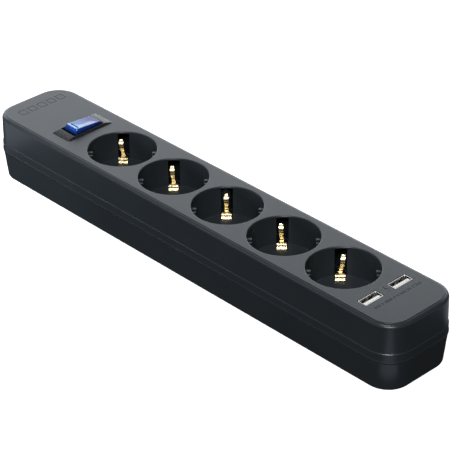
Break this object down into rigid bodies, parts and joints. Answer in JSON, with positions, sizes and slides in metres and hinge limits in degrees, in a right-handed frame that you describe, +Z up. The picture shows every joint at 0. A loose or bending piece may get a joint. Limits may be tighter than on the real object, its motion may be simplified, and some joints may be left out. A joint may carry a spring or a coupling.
{
  "type": "power strip",
  "caption": "Dark plastic power strip with round recessed mains sockets turned 45 degrees, a blue rocker switch and USB charging sockets.",
  "frame": {"origin": "middle of the underside", "axes": "+X along the strip to the USB end, +Y across it, +Z up out of the sockets"},
  "size_m": [0.315, 0.053, 0.0438],
  "materials": {
    "charcoal_plastic": "satin, fine moulded grain",
    "dark_plastic": "gloss",
    "blue_plastic": "gloss, translucent",
    "brass": "bright",
    "steel": "plated",
    "white_plastic": "satin",
    "board": "solder resist",
    "black_plastic": "satin",
    "brown_plastic": "satin",
    "wire_blue": "satin",
    "wire_green": "satin",
    "lamp": "clear"
  },
  "bodies": {
    "housing": {"top_cover": "charcoal_plastic", "base": "charcoal_plastic", "switch_housing": "dark_plastic", "line_busbar": "brass", "neutral_busbar": "brass", "earth_busbar": "brass", "line_supply_terminal": "brass", "neutral_supply_terminal": "brass", "line_pivot_terminal": "brass", "neutral_pivot_terminal": "brass", "earth_clip_1_far": "brass", "earth_clip_1_near": "brass", "earth_clip_2_far": "brass", "earth_clip_2_near": "brass", "earth_clip_3_far": "brass", "earth_clip_3_near": "brass", "earth_clip_4_far": "brass", "earth_clip_4_near": "brass", "earth_clip_5_far": "brass", "earth_clip_5_near": "brass", "usb_shell_far": "steel", "usb_shell_near": "steel", "clamp_screw_1": "steel", "clamp_screw_2": "steel", "housing_screw_1": "steel", "housing_screw_2": "steel", "housing_screw_3": "steel", "housing_screw_4": "steel", "housing_screw_5": "steel", "housing_screw_6": "steel", "usb_tongue_far": "white_plastic", "usb_tongue_near": "white_plastic", "cord_clamp": "white_plastic", "charger_board": "board", "transformer": "black_plastic", "input_capacitor": "black_plastic", "output_capacitor": "black_plastic", "cord_gland": "black_plastic", "board_fuse": "brown_plastic", "line_supply_wire": "brown_plastic", "line_switched_wire": "brown_plastic", "line_charger_wire": "brown_plastic", "neutral_supply_wire": "wire_blue", "neutral_switched_wire": "wire_blue", "neutral_charger_wire": "wire_blue", "earth_supply_wire": "wire_green"},
    "rocker": {"rocker": "blue_plastic", "indicator_lamp": "lamp", "line_plunger_spring": "steel", "neutral_plunger_spring": "steel"},
    "line_plunger": {"line_plunger": "brass"},
    "neutral_plunger": {"neutral_plunger": "brass"},
    "line_lever": {"line_contact_lever": "brass"},
    "neutral_lever": {"neutral_contact_lever": "brass"}
  },
  "joints": [
    {"name": "rocker_hinge", "type": "hinge", "parent": "housing", "child": "rocker", "pos_m": [-0.1058, 0, 0.033], "axis": [1, 0, 0], "range_deg": [0, 10]},
    {"name": "line_plunger_slide", "type": "slide", "parent": "rocker", "child": "line_plunger", "axis": [0, 0.0872, 0.9962], "range_m": [0, 0.001], "stiffness_N_per_m": 200, "springref_m": -0.004, "deforming": ["line_plunger_spring"]},
    {"name": "neutral_plunger_slide", "type": "slide", "parent": "rocker", "child": "neutral_plunger", "axis": [0, 0.0872, 0.9962], "range_m": [0, 0.001], "stiffness_N_per_m": 200, "springref_m": -0.004, "deforming": ["neutral_plunger_spring"]},
    {"name": "line_lever_hinge", "type": "hinge", "parent": "housing", "child": "line_lever", "pos_m": [-0.1087, 0, 0.0223], "axis": [1, 0, 0], "range_deg": [-20, 0]},
    {"name": "neutral_lever_hinge", "type": "hinge", "parent": "housing", "child": "neutral_lever", "pos_m": [-0.1029, 0, 0.0223], "axis": [1, 0, 0], "range_deg": [-20, 0]}
  ],
  "couplings": [
    {"joint": "line_lever_hinge", "follows": "rocker_hinge", "ratio": -2},
    {"joint": "neutral_lever_hinge", "follows": "rocker_hinge", "ratio": -2}
  ]
}
